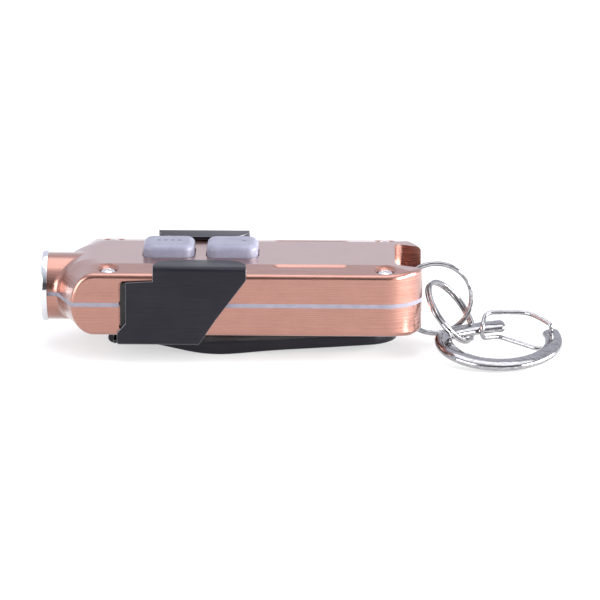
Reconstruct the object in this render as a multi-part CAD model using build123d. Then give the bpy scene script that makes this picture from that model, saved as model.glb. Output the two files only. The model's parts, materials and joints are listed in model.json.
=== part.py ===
from build123d import *
import os
from math import cos, radians, sin

# Flat two-shell keychain light with a black pocket clip, two keys and a key ring chain.
# X runs from the bezel to the tail, Y across, Z up, in millimetres. Every X below is measured from
# the bezel's front face; save() moves the whole model so that the origin is in the bezel's centre.

# body
body_length = 62.3
half_width = 12.15
crease_height = 5.03
plateau_height = 5.8
plateau_half_width = 7.6
corner_radius = 6.5
nose_x = 5.4
nose_depth = 6.6
side_nose_depth = 3.4
slab_end = 80.0
shoulder_slope = 0.41
centre_half_width = 4.6
tail_slope_x = 57.0
crease_fillet = 0.75
neck_fillet = 1.3
seam_half = 0.35
scallop_x = (38.9, 49.2)
scallop_y = 9.05
scallop_z = 7.85
scallop_radius = 2.5
cavity_half_height = 4.7
cavity_half_width = 10.4
cavity_start = 10.5
cavity_end = 55.6

# head and optics
head_radius = 5.5
head_bore = 4.8
head_bore_depth = 6.8
bezel_radius = 5.78
bezel_bore = 4.3
bezel_depth = 1.0
lens_radius = 4.72
lens_depth = 0.8
seal_wire = 0.3
reflector_front = 2.6
reflector_back = 6.0
led_board_depth = 0.9

# keys and switches
key_centres = (20.8, 31.2)
key_length = 8.4
key_width = 7.3
key_top = 7.85
key_corner = 1.8
key_edge = 1.0
key_gap = 0.14
key_flange = 0.5
mark_radius = 0.3
mark_depth = 0.2

level_marks = (-1.7, -0.57, 0.57, 1.7)
power_mark = (1.9,)

# boards, switches and cell
contact_gap = 0.02
board_bottom = 1.6
board_top = 2.4
board_x = (14.6, 41.0)
board_half_width = 9.4
board_tongue_x = 8.6
board_tongue_half_width = 3.2
switch_half = 1.6
switch_height = 0.6
plunger_radius = 0.8
plunger_gap = 0.05
dome_bottom = 3.45
dome_top = 3.7
dome_x = (15.2, 37.0)
dome_half_width = 5.2
dome_foot_inset = 0.75
dome_foot_radius = 0.5
flange_bottom = 4.1
flange_top = 4.6
cell_x = (24.6, 53.6)
cell_half_width = 9.2
cell_z = (-4.2, 1.3)
cell_corner = 1.6
pad_bottom = -4.6
lead_ys = (2.2, 4.6)
lead_radius = 0.4
inductor_place = (16.7, 5.1)
inductor_height = 1.8
chip_place = (29.0, 7.1)
lamp_y = (-3.6, -2.6)

# fasteners
screw_xs = (11.3, 56.2)
screw_y = 9.75
screw_head_radius = 1.3
screw_head_top = 4.75
screw_head_height = 1.2
screw_shank_radius = 0.8
screw_end = -3.8
dimple_sphere = 2.3
dimple_centre_height = 6.87

# tail eye
eye_x = 59.5
eye_radius = 1.6
web_half = 2.0
pocket_x = 57.8
pocket_half_width = 6.9

# side recess with the charging port
recess_x = (13.1, 26.6)
recess_z = (-4.1, 4.0)
recess_depth = 0.9
port_x = 19.8
port_length = 7.5
port_height = 2.6
port_reach = 5.2
port_z = -1.9
port_wall = 0.35

# clip
sheet = 0.5
clip_half_width = 12.75
clip_top = 6.5
clip_bottom = -6.6
lip_reach = 7.75
fold_x = 11.9
fold_radius = 0.9
lip_corner = 3.8
tongue_end = 58.2
rim_start = 19
rim_line = [(fold_x, -7.3), (19, -7.45), (27.5, -7.4), (40, -7.15), (57, -6.75), (tongue_end + 1, -6.8)]
belly = [(26.5, -9.5), (36, -9.25), (46, -8.8), (57, -8.3), (tongue_end + 1, -8.2)]

# key ring chain
wire_radial = 0.7
wire_axial = 0.56
ring_1_centre = Vector(64.55, 0.3, -1.84)
ring_1_radius = 5.92
ring_1_yaw = -3.7
ring_2_centre = Vector(67.03, -2.38, -3.36)
ring_2_normal = Vector(0.881, -0.286, 0.722)
ring_2_radius = 5.62
snap_centre = Vector(74.76, -7.05, -6.88)
snap_tilt = 10.5
snap_radius = 9.0
snap_width = 2.9
snap_thick = 1.6
gate_wire = 0.38
gate_pivot = (8.6, 1.3)
gate_end = 0.36
gate_bends = [
    (*gate_pivot, 2.2), (7.1, 3.1, 2.4), (4.8, 5.56, 2.4), (-2, 5.56, 2.4), (-2.6, 1.9, 1.5),
    (-2.6, 1.9, -0.6), (0.2, 4.4, -1.45), (6.6, 0.3, -1.75), (*gate_pivot, -1.75),
]
gate_radii = [0.5, 0.9, 1.5, 0.9, 0.8, 0.7, 0.8, 0.9, 0.5]

parts = {}


def box(x, y, z):
    """Box between two limits on each axis."""
    size = [limits[1] - limits[0] for limits in (x, y, z)]
    middle = [(limits[1] + limits[0]) / 2 for limits in (x, y, z)]
    return Pos(*middle) * Box(*size)


def rod(radius, start, end):
    """Cylinder from one point to another."""
    start, end = Vector(*start), Vector(*end)
    plane = Plane(origin=start, z_dir=end - start)
    return extrude(plane * Circle(radius), (end - start).length)


def side_sheet(points, y_from, y_to):
    """Plate with an X-Z outline, between two Y positions."""
    face = Plane.XZ * make_face(Polyline(points, close=True))
    return extrude(Pos(0, y_to, 0) * face, y_to - y_from)


# ---------------------------------------------------------------- body

def nose_profile(y, depth, height):
    """Side view of the slab at one Y: straight, with a half-elliptic nose."""
    front = nose_x - (half_width - y) * shoulder_slope
    with BuildSketch(Plane(origin=(0, y, 0), x_dir=(1, 0, 0), z_dir=(0, -1, 0))) as side:
        with BuildLine():
            EllipticalCenterArc((front + depth, 0), depth, height, start_angle=90, arc_size=180)
            Line((front + depth, -height), (slab_end, -height))
            Line((slab_end, -height), (slab_end, height))
            Line((slab_end, height), (front + depth, height))
        make_face()
    return side.sketch


def slab_blank():
    """Slab with a rounded nose: flat in the middle, thinner and blunter towards its sides."""
    side = nose_profile(half_width, side_nose_depth, crease_height)
    plateau = nose_profile(plateau_half_width, nose_depth, plateau_height)
    inner = nose_profile(centre_half_width, nose_depth, plateau_height)
    shoulder = loft([side, plateau], ruled=True) + loft([plateau, inner], ruled=True)
    middle = extrude(inner, 2 * centre_half_width, dir=(0, -1, 0))
    return shoulder + middle + mirror(shoulder, Plane.XZ)


def body_blank():
    """Outer shape of the closed body: crowned slab with sloping ends, and the round head."""
    slab = slab_blank()
    plan = box((0, body_length), (-half_width, half_width), (-8, 8))
    plan = fillet(plan.edges().filter_by(Axis.Z).group_by(Axis.X)[-1], corner_radius)
    c, t = crease_height, plateau_height
    end = body_length + 1
    run_out = side_sheet(
        [(-1, -8), (tail_slope_x - 3, -8), (tail_slope_x, -t), (end, -c), (end, c), (tail_slope_x, t),
         (tail_slope_x - 3, 8), (-1, 8)], -20, 20
    )
    body = slab & plan & run_out
    body = fillet(side_creases(body), crease_fillet)
    body += extrude(Plane.YZ.offset(bezel_depth) * Circle(head_radius), 9)
    return fillet(neck_edges(body), neck_fillet)


def side_creases(body):
    """Edges where the side, corner and tail faces meet the top, the bottom and the nose."""
    edges = []
    for face in body.faces():
        centre = face.center()
        at_side = abs(abs(centre.Y) - half_width) < 0.01
        at_tail = centre.X > cavity_end - 0.6 and face.geom_type == GeomType.CYLINDER
        if not (at_side or at_tail or abs(centre.X - body_length) < 0.01):
            continue
        for edge in face.edges():
            upright = edge.geom_type == GeomType.LINE and abs((edge @ 1 - edge @ 0).Z) > 0.6 * edge.length
            if not upright and not any(edge.is_same(other) for other in edges):
                edges.append(edge)
    return edges


def neck_edges(body):
    """Curved edges where the head meets the shoulders."""
    return [
        edge for edge in body.edges()
        if 1.2 < edge.center().X < 9.9 and abs(edge.center().Y) < 7 and edge.geom_type != GeomType.LINE
    ]


def screw_places():
    return [(x, y) for x in screw_xs for y in (-screw_y, screw_y)]


def cavity():
    """Hollow shared by the two shells, with the screw bosses left standing."""
    hollow = box((cavity_start, cavity_end), (-cavity_half_width, cavity_half_width),
                 (-cavity_half_height, cavity_half_height))
    hollow = fillet(hollow.edges().filter_by(Axis.Z), 1.5)
    hollow += box((reflector_back, cavity_start + 1), (-3.5, 3.5), (-3.2, 3.2))
    for x, y in screw_places():
        hollow -= Pos(x, y, 0) * Cylinder(2.3, 20)
    bore = extrude(Plane.YZ.offset(bezel_depth - 0.5) * Circle(head_bore), head_bore_depth)
    return hollow + bore


def key_outline(grow):
    return RectangleRounded(key_length + 2 * grow, key_width + 2 * grow, key_corner)


def side_recess():
    """Shallow pocket in the near side, with the opening for the charging port."""
    pocket = box(recess_x, (-half_width - 1, -half_width + recess_depth), recess_z)
    pocket = fillet(pocket.edges().filter_by(Axis.Y), 0.5)
    mouth = box((port_x - port_length / 2 - 0.2, port_x + port_length / 2 + 0.2), (-half_width, -9),
                (port_z - port_height / 2 - 0.2, port_z + port_height / 2 + 0.2))
    return pocket + mouth


def tail_pocket(side):
    """Open pocket above (side 1) or below (side -1) the tail eye."""
    pocket = box((pocket_x, body_length + 5), (-pocket_half_width, pocket_half_width), (web_half, 9))
    pocket = fillet(pocket.edges().filter_by(Axis.Z).group_by(Axis.X)[0], 1.5)
    return pocket if side > 0 else mirror(pocket, Plane.XY)


def scallop(side):
    """Long shallow groove beside the edge of the top face."""
    start, end = [(x, side * scallop_y, scallop_z) for x in scallop_x]
    groove = rod(scallop_radius, start, end)
    return groove + Pos(*start) * Sphere(scallop_radius) + Pos(*end) * Sphere(scallop_radius)


def eye_hole():
    return Pos(eye_x, 0, 0) * Cylinder(eye_radius, 20)


def upper_shell(blank, hollow):
    shell = blank & box((0, 70), (-20, 20), (seam_half, 10))
    shell -= hollow + side_recess() + tail_pocket(1) + eye_hole()
    for centre in key_centres:
        shell -= Pos(centre, 0, 0) * extrude(key_outline(key_gap), 10)
    for x, y in screw_places():
        shell -= Pos(x, y, 0) * Cylinder(screw_shank_radius + 0.1, 20)
        shell -= rod(screw_head_radius + 0.12, (x, y, screw_head_top - screw_head_height), (x, y, 8))
        shell -= Pos(x, y, dimple_centre_height) * Sphere(dimple_sphere)
    shell -= scallop(1) + scallop(-1)
    return shell


def lower_shell(blank, hollow):
    shell = blank & box((0, 70), (-20, 20), (-10, -seam_half))
    shell -= hollow + side_recess() + tail_pocket(-1) + eye_hole()
    for x, y in screw_places():
        shell -= rod(screw_shank_radius + 0.03, (x, y, screw_end - 0.2), (x, y, 0))
    return shell


def mid_frame(blank, hollow):
    """Translucent frame between the shells, seen as the pale line round the body."""
    frame = blank & box((0, 70), (-20, 20), (-seam_half, seam_half))
    frame -= hollow + side_recess() + eye_hole()
    for x, y in screw_places():
        frame -= Pos(x, y, 0) * Cylinder(screw_shank_radius + 0.15, 20)
    return frame


def case_screws():
    """Four socket-head screws."""
    screws = []
    for x, y in screw_places():
        seat = screw_head_top - screw_head_height
        screw = rod(screw_head_radius, (x, y, seat), (x, y, screw_head_top))
        screw = fillet(screw.edges().group_by(Axis.Z)[-1], 0.25)
        socket = Pos(x, y, screw_head_top - 0.7) * extrude(RegularPolygon(0.62, 6), 1)
        screw -= socket
        screws.append(screw + rod(screw_shank_radius, (x, y, screw_end), (x, y, seat)))
    return Compound([screw.solid() for screw in screws])


# ---------------------------------------------------------------- head

def bezel_ring():
    return extrude(Plane.YZ * (Circle(bezel_radius) - Circle(bezel_bore)), bezel_depth)


def lens():
    disc = extrude(Plane.YZ.offset(bezel_depth + 0.04) * Circle(lens_radius), lens_depth)
    return chamfer(disc.edges(), 0.1)


def lens_seal():
    start = bezel_depth + 0.04 + lens_depth + seal_wire
    return Plane.YZ.offset(start) * Torus(head_bore - seal_wire - 0.05, seal_wire)


def reflector():
    """Cup with a parabolic inside, open at the front and round the emitter."""
    depth = reflector_back - reflector_front
    rim, throat, outer = 4.2, 1.5, head_bore - 0.06
    steps = 6
    curve = [
        (reflector_back - depth * (i / steps) ** 2, throat + (rim - throat) * i / steps)
        for i in range(steps + 1)
    ]
    with BuildSketch(Plane.XY) as half:
        with BuildLine():
            Spline(curve)
            Line((reflector_front, rim), (reflector_front, outer))
            Line((reflector_front, outer), (reflector_front + 0.8, outer))
            Line((reflector_front + 0.8, outer), (reflector_back, throat + 1.4))
            Line((reflector_back, throat + 1.4), (reflector_back, throat))
        make_face()
    return revolve(half.sketch, Axis.X)


def led_emitter():
    base = box((reflector_back - 0.1, reflector_back + 0.2), (-1.1, 1.1), (-1.1, 1.1))
    dome = Pos(reflector_back - 0.1, 0, 0) * Sphere(0.9)
    dome &= box((reflector_back - 2, reflector_back - 0.1), (-2, 2), (-2, 2))
    return base + dome


def led_board():
    start = reflector_back + 0.22
    return extrude(Plane.YZ.offset(start) * Circle(head_bore - 0.35), led_board_depth)


# ---------------------------------------------------------------- electronics

def main_board():
    """Board across the cavity, with a tongue that reaches into the head."""
    board = box(board_x, (-board_half_width, board_half_width), (board_bottom, board_top))
    tongue = (-board_tongue_half_width, board_tongue_half_width)
    return board + box((board_tongue_x, board_x[0]), tongue, (board_bottom, board_top))


def tact_switch(x):
    body_top = board_top + switch_height
    body = box((x - switch_half, x + switch_half), (-switch_half, switch_half), (board_top, body_top))
    return body + rod(plunger_radius, (x, 0, body_top), (x, 0, dome_bottom - plunger_gap))


def dome_sheet():
    """Silicone sheet that lies between the keys and the switches, on four feet."""
    pad = box(dome_x, (-dome_half_width, dome_half_width), (dome_bottom, dome_top))
    pad = fillet(pad.edges().filter_by(Axis.Z), 1.0)
    for x in (dome_x[0] + dome_foot_inset, dome_x[1] - dome_foot_inset):
        for y in (dome_foot_inset - dome_half_width, dome_half_width - dome_foot_inset):
            pad += rod(dome_foot_radius, (x, y, board_top), (x, y, dome_bottom))
    return pad


def key(x, marks):
    """Translucent key with a flange under the shell and small marks on top."""
    cap = extrude(key_outline(0), key_top - flange_top)
    cap = fillet(cap.edges().group_by(Axis.Z)[-1], key_edge)
    cap = Pos(x, 0, flange_top) * cap
    cap += Pos(x, 0, flange_bottom) * extrude(key_outline(key_flange), flange_top - flange_bottom)
    for place in marks:
        cap -= rod(mark_radius, (x + place, 0, key_top - mark_depth), (x + place, 0, key_top + 1))
    return cap


def usb_port():
    """Charging socket: a thin metal shell with a tongue inside."""
    y_front, y_back = -half_width + recess_depth + 0.1, -half_width + recess_depth + 0.1 + port_reach
    x, h = (port_x - port_length / 2, port_x + port_length / 2), port_height / 2
    shell = box(x, (y_front, y_back), (port_z - h, port_z + h))
    shell = fillet(shell.edges().filter_by(Axis.Y), 0.6)
    bottom, top = port_z - h + port_wall, port_z + h - port_wall
    inside = box((x[0] + port_wall, x[1] - port_wall), (y_front - 1, y_back - 0.6), (bottom, top))
    tongue = box((port_x - 1.9, port_x + 1.9), (y_front + 0.5, y_back - 0.5), (port_z + 0.1, port_z + 0.6))
    return shell - inside + tongue


def port_board():
    """Small board under the main board that carries the charging socket."""
    base = port_z + port_height / 2 + contact_gap
    return box((port_x - 4.3, port_x + 4.3), (-10.2, -5.4), (base, base + 0.8))


def usb_cover():
    """Rubber cover in the side recess, with a plug that fills the socket's mouth."""
    outer, inner = -half_width + 0.15, -half_width + recess_depth - 0.05
    plate_x = (recess_x[0] + 0.2, recess_x[1] - 0.4)
    plate = box(plate_x, (outer, inner), (recess_z[0] + 0.3, recess_z[1] - 0.35))
    plate = fillet(plate.edges().filter_by(Axis.Y), 0.6)
    plug = box((port_x - 3.2, port_x + 3.2), (inner - 0.05, inner + 0.55), (port_z - 0.8, port_z - 0.05))
    return plate + plug


def battery_cell():
    cell = box(cell_x, (-cell_half_width, cell_half_width), cell_z)
    return fillet(cell.edges().filter_by(Axis.X), cell_corner)


def battery_pad():
    """Foam strip between the cell and the floor of the lower shell."""
    inset = 2.3
    y = cell_half_width - inset
    return box((cell_x[0] + inset, cell_x[1] - inset), (-y, y), (pad_bottom, cell_z[0] - contact_gap))


def battery_leads():
    """Two short wires from the cell's tabs up to the board."""
    leads = []
    start, turn, z = cell_x[0] - 0.05, cell_x[0] - 1.4, -1.0
    for y in lead_ys:
        corners = [(start, y, z), (turn, y, z), (turn, y, board_bottom - contact_gap)]
        route = FilletPolyline(corners, radius=0.7)
        leads.append(sweep(Plane(origin=route @ 0, z_dir=route % 0) * Circle(lead_radius), route))
    return Compound([lead.solid() for lead in leads])


def inductor():
    x, y = inductor_place
    z = (board_bottom - inductor_height, board_bottom - contact_gap)
    block = box((x - 1.5, x + 1.5), (y - 1.5, y + 1.5), z)
    return block & (Pos(x, y, 0) * Cylinder(1.75, 10))


def charge_chip():
    x, y = chip_place
    top = board_top + 0.8
    return box((x - 1.5, x + 1.5), (y - 1.5, y + 1.5), (board_top + contact_gap, top))


def status_leds():
    """Four small lamps that shine through the level marks."""
    lamps = []
    for place in level_marks:
        x = key_centres[0] + place
        lamps.append(box((x - 0.3, x + 0.3), lamp_y, (board_top + contact_gap, board_top + 0.5)))
    return Compound([lamp.solid() for lamp in lamps])


# ---------------------------------------------------------------- clip

def clip_saddle():
    """Folded sheet that wraps the body: base plate, two arms and two lips over the top."""
    outer = RectangleRounded(2 * clip_half_width, clip_top - clip_bottom, 0.75)
    inner = RectangleRounded(2 * (clip_half_width - sheet), clip_top - clip_bottom - 2 * sheet, 0.25)
    middle = (clip_top + clip_bottom) / 2
    wrap = extrude(Plane.YZ.offset(8) * (Pos(0, middle) * (outer - inner)), 30)
    wrap -= box((0, 40), (-lip_reach, lip_reach), (0, 10))
    arm = [
        (18.6, clip_top), (18.6, 4.1), (14.2, 3.85), (14.2, -2.95), (12.8, -4.55), (12.8, -6.3),
        (13.1, clip_bottom), (25.95, clip_bottom), (26.9, -5.1), (28.9, -2.1), (33.5, 4.1), (33.7, 4.4),
        (33.7, clip_top),
    ]
    saddle = wrap & side_sheet(arm, -20, 20)
    lips = [
        edge for edge in saddle.edges().filter_by(Axis.Z)
        if abs(abs(edge.center().Y) - lip_reach) < 0.01 and edge.center().Z > 5
    ]
    saddle = fillet(lips, lip_corner)
    return saddle + box((fold_x + 0.15, 13.4), (-6.4, 6.4), (clip_bottom, clip_bottom + sheet))


def tongue_curve(lift):
    """Underside of the tongue in side view, raised by lift."""
    return Spline([(x, z + lift) for x, z in [(fold_x, -7.9), (19, -8.05), *belly]])


def tongue_plan(inset):
    """Plan outline of the tongue: wide at the belly, tapering to a round tip."""
    wide, narrow, end = 6.9 - inset, 4.9 - inset, tongue_end - inset
    with BuildSketch(Plane.XY.offset(-12)) as plan:
        with BuildLine():
            Line((fold_x, wide), (30, wide))
            Line((30, wide), (end - narrow, narrow))
            RadiusArc((end - narrow, narrow), (end - narrow, -narrow), narrow)
            Line((end - narrow, -narrow), (30, -wide))
            Line((30, -wide), (fold_x, -wide))
            Line((fold_x, -wide), (fold_x, wide))
        make_face()
    return extrude(plan.sketch, 10)


def tongue_slab(low, high, x_range):
    """Everything between two curves of the side view."""
    top_end, low_end = high @ 1, low @ 1
    face = make_face([low, Line(low_end, top_end), high, Line(high @ 0, low @ 0)])
    slab = extrude(Pos(0, 10, 0) * (Plane.XZ * face), 20)
    return slab & box(x_range, (-20, 20), (-20, 0))


def clip_tongue():
    """Spring tongue: folded back under the base plate, with a belly and turned-up rims."""
    strip = tongue_slab(tongue_curve(0), tongue_curve(sheet), (fold_x, tongue_end)) & tongue_plan(0)
    rims = tongue_slab(tongue_curve(0), Spline(rim_line), (rim_start, tongue_end))
    rims &= tongue_plan(0) - tongue_plan(sheet)
    bend = Plane.XZ * (Pos(fold_x, -7.0) * Circle(fold_radius))
    fold = extrude(Pos(0, 6.4, 0) * bend, 12.8) & box((0, fold_x), (-20, 20), (-20, 0))
    return strip + rims + fold


# ---------------------------------------------------------------- key ring chain

def split_ring(centre, normal, radius):
    """Two turns of flat wire pressed together."""
    turn = RectangleRounded(wire_radial, wire_axial, 0.18)
    section = Pos(radius, wire_axial / 2 - 0.01) * turn + Pos(radius, 0.01 - wire_axial / 2) * turn
    ring = revolve(Plane.XZ * section, Axis.Z)
    return Location(Plane(origin=centre, z_dir=normal)) * ring


def snap_plane():
    tilt = radians(snap_tilt)
    return Plane(origin=snap_centre, x_dir=(1, 0, 0), z_dir=(0, -sin(tilt), cos(tilt)))


def snap_hook():
    """Open hook of flattened oval wire, with the holes for the gate."""
    bow = CenterArc((0, 0), snap_radius, 22, -202)
    turn = JernArc(start=bow @ 1, tangent=bow % 1, radius=2.73, arc_size=-62)
    nose = JernArc(start=turn @ 1, tangent=turn % 1, radius=31.9, arc_size=-16.9)
    path = Wire([bow, turn, nose])
    start = path @ 0
    section = Plane(origin=start, x_dir=(start.X, start.Y, 0), z_dir=path % 0) * Ellipse(
        snap_width / 2, snap_thick / 2
    )
    hook = sweep(section, path)
    for side in (1, -1):
        hook -= rod(gate_wire + 0.05, (*gate_pivot, side * 0.3), (*gate_pivot, side * 2))
    return Location(snap_plane()) * hook


def snap_gate():
    """Bent spring wire that closes the hook, with its two ends in the hook's holes."""
    route = [(*gate_pivot, gate_end), *gate_bends, (*gate_pivot, -gate_end)]
    path = FilletPolyline(route, radius=gate_radii)
    wire = sweep(Plane(origin=path @ 0, z_dir=path % 0) * Circle(gate_wire), path)
    return Location(snap_plane()) * wire


def save(node, shape):
    """Write one node, with the origin moved to the middle of the bezel ring."""
    export_step(Pos(-bezel_depth / 2, 0, 0) * shape, f"parts/{node}.step")


def main():
    os.makedirs("parts", exist_ok=True)
    blank = body_blank()
    hollow = cavity()
    save("upper_shell", upper_shell(blank, hollow))
    save("lower_shell", lower_shell(blank, hollow))
    save("mid_frame", mid_frame(blank, hollow))
    save("case_screws", case_screws())
    save("bezel_ring", bezel_ring())
    save("lens", lens())
    save("lens_seal", lens_seal())
    save("reflector", reflector())
    save("led_emitter", led_emitter())
    save("led_board", led_board())
    save("main_board", main_board())
    save("mode_switch", tact_switch(key_centres[0]))
    save("power_switch", tact_switch(key_centres[1]))
    save("dome_sheet", dome_sheet())
    save("mode_key", key(key_centres[0], level_marks))
    save("power_key", key(key_centres[1], power_mark))
    save("usb_port", usb_port())
    save("port_board", port_board())
    save("usb_cover", usb_cover())
    save("battery_cell", battery_cell())
    save("battery_pad", battery_pad())
    save("battery_leads", battery_leads())
    save("inductor", inductor())
    save("charge_chip", charge_chip())
    save("status_leds", status_leds())
    save("clip_saddle", clip_saddle())
    save("clip_tongue", clip_tongue())
    yaw = radians(ring_1_yaw)
    save("body_ring", split_ring(ring_1_centre, Vector(sin(yaw), cos(yaw), 0), ring_1_radius))
    save("link_ring", split_ring(ring_2_centre, ring_2_normal, ring_2_radius))
    save("snap_hook", snap_hook())
    save("snap_gate", snap_gate())


main()
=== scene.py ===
"""Looks of the keychain flashlight: materials, finer metalwork, studio and camera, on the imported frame."""
import json
from math import cos, pi, radians, sin, sqrt

import bmesh
import bpy
from mathutils import Matrix, Vector


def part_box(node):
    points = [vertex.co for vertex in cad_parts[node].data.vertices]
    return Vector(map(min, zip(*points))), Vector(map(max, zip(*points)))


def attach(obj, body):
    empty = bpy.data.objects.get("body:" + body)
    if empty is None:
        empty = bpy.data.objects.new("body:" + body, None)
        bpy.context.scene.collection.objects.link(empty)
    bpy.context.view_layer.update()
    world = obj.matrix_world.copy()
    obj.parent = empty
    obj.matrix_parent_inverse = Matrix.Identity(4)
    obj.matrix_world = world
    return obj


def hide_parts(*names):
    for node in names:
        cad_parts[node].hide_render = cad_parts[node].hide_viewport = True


MM = 0.001

# key ring chain, in metres in the shared frame
ring_wire_radial = 0.7 * MM
ring_wire_axial = 0.56 * MM
ring_radius = {"body_ring": 5.92 * MM, "link_ring": 5.62 * MM}
ring_centre = {
    "body_ring": Vector((64.05, 0.3, -1.84)) * MM,
    "link_ring": Vector((66.53, -2.38, -3.36)) * MM,
}
body_ring_heading = radians(-3.7)
ring_normal = {
    "body_ring": Vector((sin(body_ring_heading), cos(body_ring_heading), 0)),
    "link_ring": Vector((0.881, -0.286, 0.722)).normalized(),
}
# where the wire's ends meet, half the angle in which it changes layer, and the gap between its ends
ring_ends_at = {"body_ring": radians(322), "link_ring": radians(110)}
ring_half_step = radians(14)
ring_end_gap = radians(8)
# outline of the wire: the rounding of its ends, how much of its layer it fills, and how boxy it is
ring_end_round = 0.16 * MM
ring_layer_fill = 0.97
ring_boxiness = 2.9
ring_steps_per_turn = 240

# snap hook, in its own plane: p along X, q across it, n up from it; lengths in metres, angles in degrees
hook_centre = Vector((74.26, -7.05, -6.88)) * MM
hook_tilt = radians(10.5)
hook_radius = 9.0 * MM
hook_width = 2.9 * MM
hook_thick = 1.6 * MM
hook_start, hook_sweep = 22, -202
hook_turn_radius, hook_turn_sweep = 2.73 * MM, -62
hook_nose_radius, hook_nose_sweep = 31.9 * MM, -16.9
hook_end_round = 0.8 * MM
hook_boxiness = 2.3
hook_steps = {"bow": 140, "turn": 30, "nose": 90}

# gate wire: its radius and its points (p, q, n) in mm, from one hole in the hook to the other
gate_wire = 0.38 * MM
gate_boxiness = 2.0
gate_route = [
    (8.6, 1.3, 0.36), (8.6, 1.3, 2.2), (7.1, 3.1, 2.4), (4.8, 5.56, 2.4), (-2, 5.56, 2.4), (-2.6, 1.9, 1.5),
    (-2.6, 1.9, -0.6), (0.2, 4.4, -1.45), (6.6, 0.3, -1.75), (8.6, 1.3, -1.75), (8.6, 1.3, -0.36),
]
# bends of the gate wire: how far before each point one starts, in mm, and its largest share of a run
gate_reach = [0.5, 1.1, 2.4, 1.6, 1.0, 0.95, 1.2, 1.0, 0.6]
bend_share = 0.48
steps_per_bend = 12

# marks on the keys, in mm: places along X from the middle of the key, and (radius, height) over its top
level_marks = (-1.7, -0.57, 0.57, 1.7)
power_mark = (1.9,)
mark_profile = [(0.34, -0.06), (0.34, 0.008), (0.3, 0.014)]

# screws, in mm: places, and (radius, height) along the domed head into its socket
screw_xs = (10.8, 55.7)
screw_y = 9.75
crown_profile = [
    (1.26, 4.6), (1.26, 4.95), (1.18, 5.1), (1.02, 5.22), (0.82, 5.3), (0.68, 5.3), (0.63, 5.25), (0.6, 4.9),
]

# clip: width of the round on each sheet's edges, the largest turn in a flat face, the smallest at an edge
saddle_bevel = 0.1 * MM
tongue_bevel = 0.09 * MM
flat_angle = radians(0.4)
edge_angle = radians(38)

# bezel: thickness of the ring, its rolled front rim and its other corners
bezel_wall = 1.4 * MM
bezel_rim = 0.28 * MM
bezel_corner = 0.12 * MM

# floor: how far it lies under the lowest point, and its width
floor_gap = 0.02 * MM
floor_size = 4.0

# camera, above the charging-port side
camera_target = Vector((41.77, 0, -2.2)) * MM
camera_distance = 0.713
camera_elevation = radians(15)
camera_yaw = radians(0.74)
camera_roll = radians(0.2)
camera_lens = 260
sensor_width = 36


# ---------------------------------------------------------------- materials

def new_material(name):
    """Node material with a Principled shader; returns the material, its node tree and the shader."""
    material = bpy.data.materials.new(name)
    material.use_nodes = True
    tree = material.node_tree
    return material, tree, principled(material)


def principled(material):
    return material.node_tree.nodes["Principled BSDF"]


def node(tree, kind, **sockets):
    """New node with values on the named sockets; an underscore stands for a space."""
    made = tree.nodes.new(kind)
    for key, value in sockets.items():
        made.inputs[key.replace("_", " ")].default_value = value
    return made


def stretched_noise(tree, stretch, detail):
    """Noise with about stretch waves in a metre along each axis."""
    coordinates = tree.nodes.new("ShaderNodeTexCoord")
    mapping = node(tree, "ShaderNodeMapping", Scale=stretch)
    noise = node(tree, "ShaderNodeTexNoise", Scale=1.0, Detail=detail, Roughness=0.6)
    tree.links.new(coordinates.outputs["Object"], mapping.inputs["Vector"])
    tree.links.new(mapping.outputs["Vector"], noise.inputs["Vector"])
    return noise.outputs["Fac"]


def even_noise(tree, waves, detail):
    """Noise that is as fine along all three axes."""
    return stretched_noise(tree, (waves, waves, waves), detail)


def ramp(tree, value, low, high, colour_low, colour_high):
    """Colour ramp between two positions."""
    made = tree.nodes.new("ShaderNodeValToRGB")
    elements = made.color_ramp.elements
    elements[0].position, elements[1].position = low, high
    elements[0].color = (*colour_low, 1)
    elements[1].color = (*colour_high, 1)
    tree.links.new(value, made.inputs["Fac"])
    return made.outputs["Color"]


def spread(tree, value, low, high):
    """Maps noise, which mostly lies between 0.3 and 0.7, to the range from low to high."""
    made = node(tree, "ShaderNodeMapRange", From_Min=0.3, From_Max=0.7, To_Min=low, To_Max=high)
    tree.links.new(value, made.inputs["Value"])
    return made.outputs["Result"]


def bump(tree, shader, height, depth, strength=1.0, before=None):
    """Bump of a real depth in metres, on top of the bump before it; returns its node."""
    made = node(tree, "ShaderNodeBump", Strength=strength, Distance=depth)
    tree.links.new(height, made.inputs["Height"])
    if before is not None:
        tree.links.new(before.outputs["Normal"], made.inputs["Normal"])
    tree.links.new(made.outputs["Normal"], shader.inputs["Normal"])
    return made


def mix_by(tree, factor, first, second):
    """Mix of two float sockets by a third one, or by a number."""
    made = tree.nodes.new("ShaderNodeMix")
    made.data_type = "FLOAT"
    if isinstance(factor, float):
        made.inputs[0].default_value = factor
    else:
        tree.links.new(factor, made.inputs[0])
    tree.links.new(first, made.inputs[2])
    tree.links.new(second, made.inputs[3])
    return made.outputs[0]


def facing_up(tree):
    """1 on faces that look up or down, 0 on the sides."""
    geometry = tree.nodes.new("ShaderNodeNewGeometry")
    split = tree.nodes.new("ShaderNodeSeparateXYZ")
    tree.links.new(geometry.outputs["Normal"], split.inputs["Vector"])
    size = tree.nodes.new("ShaderNodeMath")
    size.operation = "ABSOLUTE"
    tree.links.new(split.outputs["Z"], size.inputs[0])
    step = node(tree, "ShaderNodeMapRange", From_Min=0.6, From_Max=0.85)
    tree.links.new(size.outputs["Value"], step.inputs["Value"])
    return step.outputs["Result"]


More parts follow.
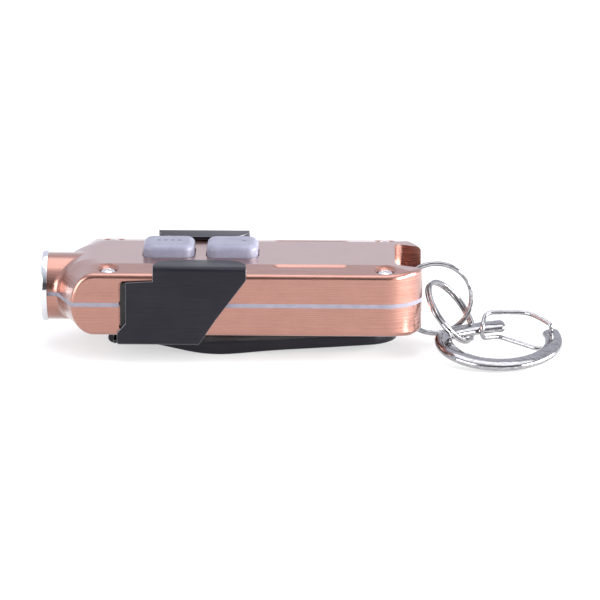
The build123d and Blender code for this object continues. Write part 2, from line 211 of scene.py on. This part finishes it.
def brushed_metal(name, dark, light, roughness, groove=1.2e-6, metallic=1.0):
    """Metal brushed along X, round the sides and over the flats, with fine grain and slow tone changes."""
    material, tree, shader = new_material(name)
    side = stretched_noise(tree, (140, 140, 9000), 4.0)
    flat = stretched_noise(tree, (140, 9000, 140), 4.0)
    streaks = mix_by(tree, facing_up(tree), side, flat)
    tone = mix_by(tree, 0.35, streaks, even_noise(tree, 160, 2.0))
    tree.links.new(ramp(tree, tone, 0.3, 0.7, dark, light), shader.inputs["Base Color"])
    tree.links.new(spread(tree, streaks, roughness - 0.05, roughness + 0.06), shader.inputs["Roughness"])
    shader.inputs["Metallic"].default_value = metallic
    grain = even_noise(tree, 7000, 2.0)
    bump(tree, shader, grain, groove, 0.5, bump(tree, shader, streaks, groove))
    return material


def polished_metal(name, dark, light, roughness, wave=4e-6):
    """Plated metal with a slow wave and faint scratches; the scratch noise also sets the base colour, and
    where dark and light lie far apart, as on the ring chrome, its dark patches are painted reflection.
    """
    material, tree, shader = new_material(name)
    wander = even_noise(tree, 500, 2.0)
    scratch_and_painted_reflection = stretched_noise(tree, (900, 5200, 2600), 3.0)
    tree.links.new(ramp(tree, scratch_and_painted_reflection, 0.25, 0.75, dark, light), shader.inputs["Base Color"])
    tree.links.new(spread(tree, scratch_and_painted_reflection, roughness * 0.7, roughness * 1.4), shader.inputs["Roughness"])
    shader.inputs["Metallic"].default_value = 1.0
    bump(tree, shader, scratch_and_painted_reflection, 4e-7, 0.5, bump(tree, shader, wander, wave))
    return material


def moulded(name, dark, light, roughness, grain_depth=2e-6, metallic=0.0, grain=4500, coat=0.0):
    """Moulded or coated surface: fine grain, slight tone changes."""
    material, tree, shader = new_material(name)
    tone = even_noise(tree, 420, 4.0)
    fine = even_noise(tree, grain, 2.0)
    tree.links.new(ramp(tree, tone, 0.3, 0.7, dark, light), shader.inputs["Base Color"])
    tree.links.new(spread(tree, fine, roughness - 0.05, roughness + 0.07), shader.inputs["Roughness"])
    shader.inputs["Metallic"].default_value = metallic
    shader.inputs["Coat Weight"].default_value = coat
    bump(tree, shader, fine, grain_depth)
    return material


def anodised_copper():
    """Brushed copper-coloured metal under a clear satin layer, which turns paler at a low angle."""
    material = brushed_metal("brushed_copper", (0.32, 0.136, 0.098), (0.43, 0.196, 0.149), 0.27)
    shader = principled(material)
    shader.inputs["Coat Weight"].default_value = 1.0
    shader.inputs["Coat Roughness"].default_value = 0.2
    shader.inputs["Coat IOR"].default_value = 1.6
    return material


def coated_steel():
    """Dark coated spring steel with faint brush lines along X."""
    dark, light = (0.005, 0.0046, 0.008), (0.016, 0.0145, 0.022)
    return brushed_metal("coated_steel", dark, light, 0.34, 1.6e-6, 0.55)


def milky_plastic(name, dark, light, roughness, scatter):
    """Translucent plastic that lets light into its surface."""
    material = moulded(name, dark, light, roughness, 1.5e-6)
    shader = principled(material)
    shader.inputs["Subsurface Weight"].default_value = scatter
    shader.inputs["Subsurface Radius"].default_value = (0.9, 0.9, 1.0)
    shader.inputs["Subsurface Scale"].default_value = 0.0012
    shader.inputs["IOR"].default_value = 1.46
    return material


def clear_glass():
    """Coated lens glass."""
    material, tree, shader = new_material("lens_glass")
    smear = even_noise(tree, 300, 2.0)
    tint = ramp(tree, smear, 0.3, 0.7, (0.92, 0.95, 0.98), (0.97, 0.98, 1.0))
    tree.links.new(tint, shader.inputs["Base Color"])
    tree.links.new(spread(tree, smear, 0.01, 0.04), shader.inputs["Roughness"])
    shader.inputs["Transmission Weight"].default_value = 1.0
    shader.inputs["IOR"].default_value = 1.5
    shader.inputs["Coat Weight"].default_value = 0.5
    return material


def phosphor():
    """Yellow emitter with a grainy surface."""
    return moulded("phosphor", (0.8, 0.55, 0.08), (0.95, 0.8, 0.2), 0.4, 4e-6, 0.0, 6000)


def circuit_board():
    """Green board under a thin clear lacquer."""
    return moulded("green_board", (0.01, 0.09, 0.035), (0.02, 0.14, 0.055), 0.35, 3e-6, 0.0, 2600, 0.4)


def make_materials():
    """One material for each slot of the record, then the painted edge highlight of the clip sheets, and
    those of the screw heads and key marks.
    """
    return {
        "copper": anodised_copper(),
        "seam_plastic": milky_plastic("seam_plastic", (0.2, 0.187, 0.23), (0.26, 0.242, 0.29), 0.4, 0.4),
        "steel": brushed_metal("screw_steel", (0.5, 0.5, 0.52), (0.66, 0.66, 0.68), 0.22),
        "polished_steel": polished_metal("polished_steel", (0.66, 0.67, 0.7), (0.8, 0.81, 0.83), 0.1),
        "lens_glass": clear_glass(),
        "black_rubber": moulded("black_rubber", (0.008, 0.008, 0.009), (0.016, 0.016, 0.018), 0.6, 4e-6),
        "mirror_metal": polished_metal("mirror_metal", (0.84, 0.85, 0.86), (0.9, 0.9, 0.91), 0.05, 1e-6),
        "emitter": phosphor(),
        "white_board": moulded("white_board", (0.7, 0.7, 0.68), (0.8, 0.8, 0.78), 0.4),
        "green_board": circuit_board(),
        "switch_metal": brushed_metal("switch_metal", (0.45, 0.45, 0.45), (0.6, 0.6, 0.6), 0.28),
        "clear_silicone": milky_plastic("clear_silicone", (0.6, 0.62, 0.65), (0.7, 0.72, 0.75), 0.45, 0.5),
        "key_plastic": milky_plastic("key_plastic", (0.2, 0.2, 0.262), (0.25, 0.25, 0.318), 0.36, 0.6),
        "cell_foil": moulded("cell_foil", (0.5, 0.5, 0.52), (0.62, 0.62, 0.64), 0.35, 8e-6, 0.9, 900),
        "lead_sheath": moulded("lead_sheath", (0.4, 0.015, 0.015), (0.5, 0.03, 0.03), 0.4),
        "ferrite": moulded("ferrite", (0.05, 0.05, 0.055), (0.08, 0.08, 0.085), 0.6, 8e-6),
        "chip_black": moulded("chip_black", (0.015, 0.015, 0.016), (0.03, 0.03, 0.032), 0.5),
        "black_steel": coated_steel(),
        # ring chrome: its wide dark-to-light tone over the scratch noise paints dark reflections onto the
        # wires as patches
        "ring_chrome": polished_metal("ring_chrome", (0.2, 0.195, 0.205), (0.52, 0.51, 0.52), 0.1),
        # clip sheet edges: a much lighter metal than the dark coated steel, a painted highlight along the
        # rounded edges
        "sheet_edge_highlight": brushed_metal("sheet_edge_highlight", (0.16, 0.16, 0.18), (0.34, 0.34, 0.37), 0.3, 8e-7, 0.9),
        "crown_steel": polished_metal("crown_steel", (0.6, 0.6, 0.62), (0.8, 0.8, 0.82), 0.16),
        "mark_ink": moulded("mark_ink", (0.09, 0.09, 0.13), (0.14, 0.14, 0.19), 0.5),
    }


def paint(piece, material):
    """Makes this the only material of a piece."""
    piece.data.materials.clear()
    piece.data.materials.append(material)


# ---------------------------------------------------------------- mesh helpers

def add_mesh(name, vertices, faces, material, slot):
    """Smooth-shaded piece with one material; its slot is not used."""
    mesh = bpy.data.meshes.new(name)
    mesh.from_pydata([tuple(v) for v in vertices], [], faces)
    mesh.update()
    piece = bpy.data.objects.new(name, mesh)
    bpy.context.scene.collection.objects.link(piece)
    mesh.shade_smooth()
    mesh.materials.append(material)
    return piece


def tube(frames, section):
    """Closed tube through frames of (point, first axis, second axis, size); section is the outline."""
    vertices = []
    for point, first, second, size in frames:
        vertices += [point + first * (u * size) + second * (v * size) for u, v in section]
    count = len(section)
    faces = []
    for ring in range(len(frames) - 1):
        for k in range(count):
            after = (k + 1) % count
            low, high = ring * count, (ring + 1) * count
            faces.append((low + k, low + after, high + after, high + k))
    faces.append(tuple(reversed(range(count))))
    faces.append(tuple(range(len(vertices) - count, len(vertices))))
    return vertices, faces


def oval(width, height, count, power):
    """Superellipse outline: an ellipse where power is 2, and boxier where it is more."""
    outline = []
    for k in range(count):
        angle = 2 * pi * k / count
        c, s = cos(angle), sin(angle)
        outline.append((
            width / 2 * abs(c) ** (2 / power) * (1 if c >= 0 else -1),
            height / 2 * abs(s) ** (2 / power) * (1 if s >= 0 else -1),
        ))
    return outline


def ease(t):
    """Smooth step from 0 to 1."""
    t = min(1.0, max(0.0, t))
    return t * t * (3 - 2 * t)


def end_size(along, total, reach):
    """Size of a tube at a place along it, which rounds off the last stretch at both ends."""
    near = min(along, total - along)
    if near >= reach:
        return 1.0
    return max(0.12, sqrt(1 - (1 - near / reach) ** 2))


def plane_axes(normal):
    """Two axes across a normal."""
    side = Vector((0, 0, 1)) if abs(normal.z) < 0.9 else Vector((1, 0, 0))
    first = normal.cross(side).normalized()
    return first, normal.cross(first)


# ---------------------------------------------------------------- key ring chain

def split_ring(name, material):
    """Flat wire coiled twice, with the step where it changes layer and its two cut ends."""
    centre, normal, radius = ring_centre[name], ring_normal[name], ring_radius[name]
    across, along = plane_axes(normal)
    first = ring_half_step + ring_end_gap / 2
    last = 4 * pi - first
    length = (last - first) * radius
    steps = 2 * ring_steps_per_turn
    frames = []
    for k in range(steps + 1):
        angle = first + (last - first) * k / steps
        layer = ease((angle - 2 * pi + ring_half_step) / (2 * ring_half_step)) - 0.5
        around = ring_ends_at[name] + angle
        outward = across * cos(around) + along * sin(around)
        point = centre + outward * radius + normal * (layer * ring_wire_axial)
        size = end_size((angle - first) * radius, length, ring_end_round)
        frames.append((point, outward, normal, size))
    outline = oval(ring_wire_radial, ring_wire_axial * ring_layer_fill, 24, ring_boxiness)
    piece = add_mesh(f"{name}_coil", *tube(frames, outline), material, "ring_chrome")
    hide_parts(name)
    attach(piece, name)


def hook_plane():
    """Axes of the snap hook's plane."""
    across = Vector((0, cos(hook_tilt), sin(hook_tilt)))
    up = Vector((0, -sin(hook_tilt), cos(hook_tilt)))
    return Vector((1, 0, 0)), across, up


def hook_line():
    """Centre line of the hook: a bow, a tight turn and a nearly straight nose, as (p, q, heading)."""
    line = []
    for k in range(hook_steps["bow"] + 1):
        angle = radians(hook_start + hook_sweep * k / hook_steps["bow"])
        line.append((hook_radius * cos(angle), hook_radius * sin(angle), angle - pi / 2))
    for radius, sweep, count in (
        (hook_turn_radius, hook_turn_sweep, hook_steps["turn"]),
        (hook_nose_radius, hook_nose_sweep, hook_steps["nose"]),
    ):
        p, q, heading = line[-1]
        centre = (p + radius * sin(heading), q - radius * cos(heading))
        for k in range(1, count + 1):
            course = heading + radians(sweep) * k / count
            line.append((centre[0] - radius * sin(course), centre[1] + radius * cos(course), course))
    return line


def snap_hook(material):
    """Hook of flattened oval wire with rounded ends."""
    along, across, up = hook_plane()
    line = hook_line()
    lengths = [0.0]
    for before, after in zip(line, line[1:]):
        lengths.append(lengths[-1] + sqrt((after[0] - before[0]) ** 2 + (after[1] - before[1]) ** 2))
    total = lengths[-1]
    frames = []
    for (p, q, heading), travelled in zip(line, lengths):
        point = hook_centre + along * p + across * q
        outward = along * -sin(heading) + across * cos(heading)
        size = end_size(travelled, total, hook_end_round)
        frames.append((point, outward, up, size))
    outline = oval(hook_width, hook_thick, 40, hook_boxiness)
    piece = add_mesh("snap_hook_bow", *tube(frames, outline), material, "ring_chrome")
    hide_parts("snap_hook")
    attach(piece, "hook")


def bend_line(points, reach):
    """Line through corner points, with a smooth bend at each corner that starts reach mm before it."""
    line = [points[0]]
    for before, corner, after, back in zip(points, points[1:], points[2:], reach):
        into = corner - before
        away = after - corner
        back = min(back * MM, into.length * bend_share, away.length * bend_share)
        start = corner - into.normalized() * back
        end = corner + away.normalized() * back
        for k in range(steps_per_bend + 1):
            t = k / steps_per_bend
            line.append(start * (1 - t) ** 2 + corner * (2 * t * (1 - t)) + end * t ** 2)
    line.append(points[-1])
    return line


def wire_frames(line):
    """Frames along a line that twist as little as they can."""
    headings = [(after - before).normalized() for before, after in zip(line, line[1:])]
    headings.append(headings[-1])
    first, _ = plane_axes(headings[0])
    frames = []
    for point, heading in zip(line, headings):
        first = (first - heading * first.dot(heading)).normalized()
        frames.append((point, first, heading.cross(first), 1.0))
    return frames


def snap_gate(material):
    """Spring wire bent round the inner side of the nose, with its ends in the hook's holes."""
    along, across, up = hook_plane()
    points = [hook_centre + (along * p + across * q + up * n) * MM for p, q, n in gate_route]
    frames = wire_frames(bend_line(points, gate_reach))
    outline = oval(2 * gate_wire, 2 * gate_wire, 16, gate_boxiness)
    piece = add_mesh("snap_gate_wire", *tube(frames, outline), material, "ring_chrome")
    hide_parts("snap_gate")
    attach(piece, "gate")


# ---------------------------------------------------------------- head

def lathe(name, profile, material, slot, count=160):
    """Closed ring turned about X from a profile of (x, radius)."""
    vertices, faces = [], []
    for k in range(count):
        angle = 2 * pi * k / count
        vertices += [Vector((x, r * cos(angle), r * sin(angle))) for x, r in profile]
    size = len(profile)
    for k in range(count):
        low, high = k * size, ((k + 1) % count) * size
        for j in range(size):
            after = (j + 1) % size
            faces.append((low + j, high + j, high + after, low + after))
    return add_mesh(name, vertices, faces, material, slot)


def corner_arc(x, r, radius, start, count=5):
    """Points of a quarter round; start is the angle of its first point."""
    angles = [radians(start + 90 * k / count) for k in range(count + 1)]
    return [(x + radius * cos(angle), r + radius * sin(angle)) for angle in angles]


def bezel(material):
    """Polished ring with a rolled rim and a soft inner lip."""
    low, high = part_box("bezel_ring")
    front, back, outer = low.x, high.x, high.z
    inner = outer - bezel_wall
    profile = corner_arc(back - bezel_corner, outer - bezel_corner, bezel_corner, 0)
    profile += corner_arc(front + bezel_rim, outer - bezel_rim, bezel_rim, 90)
    profile += corner_arc(front + bezel_corner, inner + bezel_corner, bezel_corner, 180)
    profile += corner_arc(back - bezel_corner, inner + bezel_corner, bezel_corner, 270)
    piece = lathe("bezel_rim", profile, material, "polished_steel")
    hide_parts("bezel_ring")
    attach(piece, "body")


# ---------------------------------------------------------------- clip

def soft_edged(name, source, node_name, body, width, looks):
    """Copy of a CAD node with its edges broken by a narrow round; looks are (face, edge) materials, and the
    edge one paints a highlight on the round.
    """
    mesh = bmesh.new()
    mesh.from_mesh(source.data)
    bmesh.ops.remove_doubles(mesh, verts=mesh.verts, dist=1e-7)
    bmesh.ops.dissolve_limit(
        mesh, angle_limit=flat_angle, verts=mesh.verts, edges=mesh.edges, use_dissolve_boundaries=False
    )
    copied = bpy.data.meshes.new(name)
    mesh.to_mesh(copied)
    mesh.free()
    piece = bpy.data.objects.new(name, copied)
    bpy.context.scene.collection.objects.link(piece)
    for material in looks:
        copied.materials.append(material)
    modifier = piece.modifiers.new("edge_round", "BEVEL")
    modifier.width = width
    modifier.segments = 3
    modifier.limit_method = "ANGLE"
    modifier.angle_limit = edge_angle
    modifier.harden_normals = True
    # the rounds take the second look, the lighter metal that paints a highlight on the edges
    modifier.material = 1
    copied.shade_smooth()
    depsgraph = bpy.context.evaluated_depsgraph_get()
    rounded = bpy.data.meshes.new_from_object(piece.evaluated_get(depsgraph))
    piece.modifiers.clear()
    piece.data = rounded
    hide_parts(node_name)
    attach(piece, body)


# ---------------------------------------------------------------- keys and screws

def turned(name, centres, profile, material, slot, body, count=32):
    """One solid of revolution about Z at each centre, from a profile of (radius, height) in mm."""
    angles = [2 * pi * k / count for k in range(count)]
    vertices, faces = [], []
    for centre in centres:
        base = len(vertices)
        for radius, height in profile:
            vertices += [centre + Vector((radius * cos(a), radius * sin(a), height)) * MM for a in angles]
        for ring in range(len(profile) - 1):
            low, high = base + ring * count, base + (ring + 1) * count
            for k in range(count):
                after = (k + 1) % count
                faces.append((low + k, low + after, high + after, high + k))
        faces.append(tuple(reversed(range(base, base + count))))
        faces.append(tuple(range(len(vertices) - count, len(vertices))))
    piece = add_mesh(name, vertices, faces, material, slot)
    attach(piece, body)


def key_marks(body, places, material):
    """Dark printed dots over the small pits in a key."""
    low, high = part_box(body)
    middle = (low + high) / 2
    centres = [Vector((middle.x + place * MM, middle.y, high.z)) for place in places]
    turned(f"{body}_marks", centres, mark_profile, material, "black_rubber", body)


def screw_crowns(material):
    """Domed heads with a socket, low in the four dimples."""
    centres = [Vector((x, y, 0)) * MM for x in screw_xs for y in (-screw_y, screw_y)]
    turned("screw_crowns", centres, crown_profile, material, "steel", "body")


# ---------------------------------------------------------------- studio

def floor(height):
    """Pale paper that glows enough to stay white in the picture."""
    half = floor_size / 2
    corners = [(-half, -half, height), (half, -half, height), (half, half, height), (-half, half, height)]
    mesh = bpy.data.meshes.new("floor")
    mesh.from_pydata(corners, [], [(0, 1, 2, 3)])
    sheet = bpy.data.objects.new("floor", mesh)
    bpy.context.scene.collection.objects.link(sheet)
    paper = moulded("floor_paper", (0.4, 0.4, 0.4), (0.44, 0.44, 0.44), 0.8, 1e-6)
    shader = principled(paper)
    shader.inputs["Emission Color"].default_value = (1.0, 1.0, 1.0, 1)
    shader.inputs["Emission Strength"].default_value = 0.56
    paint(sheet, paper)


def surround():
    """World that is dark in front of the part and below, and bright behind it and above."""
    world = bpy.data.worlds.new("studio")
    world.use_nodes = True
    tree = world.node_tree
    coordinates = tree.nodes.new("ShaderNodeTexCoord")
    height = tree.nodes.new("ShaderNodeVectorMath")
    height.operation = "DOT_PRODUCT"
    height.inputs[1].default_value = (0, 0.8, 0.6)
    position = node(tree, "ShaderNodeMapRange", From_Min=-1, From_Max=1)
    tree.links.new(coordinates.outputs["Generated"], height.inputs[0])
    tree.links.new(height.outputs["Value"], position.inputs["Value"])
    shade = ramp(tree, position.outputs["Result"], 0.22, 0.55, (0.08, 0.08, 0.09), (0.88, 0.9, 1.0))
    tree.links.new(shade, tree.nodes["Background"].inputs["Color"])
    bpy.context.scene.world = world


def softbox(name, offset, width, height, power):
    """Rectangular lamp at an offset from the camera's target, which it faces."""
    light = bpy.data.lights.new(name, "AREA")
    light.shape = "RECTANGLE"
    light.size, light.size_y = width, height
    light.energy = power
    lamp = bpy.data.objects.new(name, light)
    bpy.context.scene.collection.objects.link(lamp)
    lamp.location = camera_target + Vector(offset)
    lamp.rotation_euler = (-Vector(offset)).to_track_quat("-Z", "Y").to_euler()


def studio(lowest):
    """Floor, surround and three soft lamps."""
    floor(lowest - floor_gap)
    surround()
    softbox("overhead", (0.02, 0.02, 0.5), 0.6, 0.4, 1.35)
    softbox("tail_side", (0.29, -0.08, 0.06), 0.36, 0.14, 3.2)
    softbox("head_side", (-0.34, -0.24, 0.12), 0.3, 0.24, 1.3)
    bpy.context.scene.view_settings.view_transform = "Standard"


def camera():
    """Long lens from above the charging-port side."""
    data = bpy.data.cameras.new("camera")
    data.lens = camera_lens
    data.sensor_width = sensor_width
    data.clip_start, data.clip_end = 0.01, 20
    eye = bpy.data.objects.new("camera", data)
    bpy.context.scene.collection.objects.link(eye)
    level = cos(camera_elevation)
    away = Vector((sin(camera_yaw) * level, -cos(camera_yaw) * level, sin(camera_elevation)))
    eye.location = camera_target + away * camera_distance
    look = (-away).to_track_quat("-Z", "Y").to_matrix().to_4x4()
    eye.matrix_world = Matrix.Translation(eye.location) @ look @ Matrix.Rotation(camera_roll, 4, "Z")
    bpy.context.scene.camera = eye


# ---------------------------------------------------------------- the scene

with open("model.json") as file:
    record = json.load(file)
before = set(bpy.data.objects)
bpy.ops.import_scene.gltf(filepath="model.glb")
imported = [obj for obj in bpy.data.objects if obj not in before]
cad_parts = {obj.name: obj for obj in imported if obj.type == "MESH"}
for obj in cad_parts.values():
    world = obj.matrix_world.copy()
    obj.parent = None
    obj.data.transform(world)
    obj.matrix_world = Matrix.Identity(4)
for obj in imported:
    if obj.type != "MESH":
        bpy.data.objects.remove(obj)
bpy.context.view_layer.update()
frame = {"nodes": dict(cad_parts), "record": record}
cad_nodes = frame["nodes"]
materials = make_materials()
for entry in frame["record"]["subparts"]:
    paint(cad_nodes[entry["node"]], materials[entry["material_slot"]])

split_ring("body_ring", materials["ring_chrome"])
split_ring("link_ring", materials["ring_chrome"])
snap_hook(materials["ring_chrome"])
snap_gate(materials["ring_chrome"])
bezel(materials["polished_steel"])
sheet_looks = (materials["black_steel"], materials["sheet_edge_highlight"])
for sheet_name, sheet_node, sheet_body, bevel in (
    ("saddle_sheet", "clip_saddle", "body", saddle_bevel),
    ("tongue_sheet", "clip_tongue", "tongue", tongue_bevel),
):
    soft_edged(sheet_name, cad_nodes[sheet_node], sheet_node, sheet_body, bevel, sheet_looks)
key_marks("mode_key", level_marks, materials["mark_ink"])
key_marks("power_key", power_mark, materials["mark_ink"])
screw_crowns(materials["crown_steel"])

lowest = min(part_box(name)[0].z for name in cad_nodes)
studio(lowest)
camera()
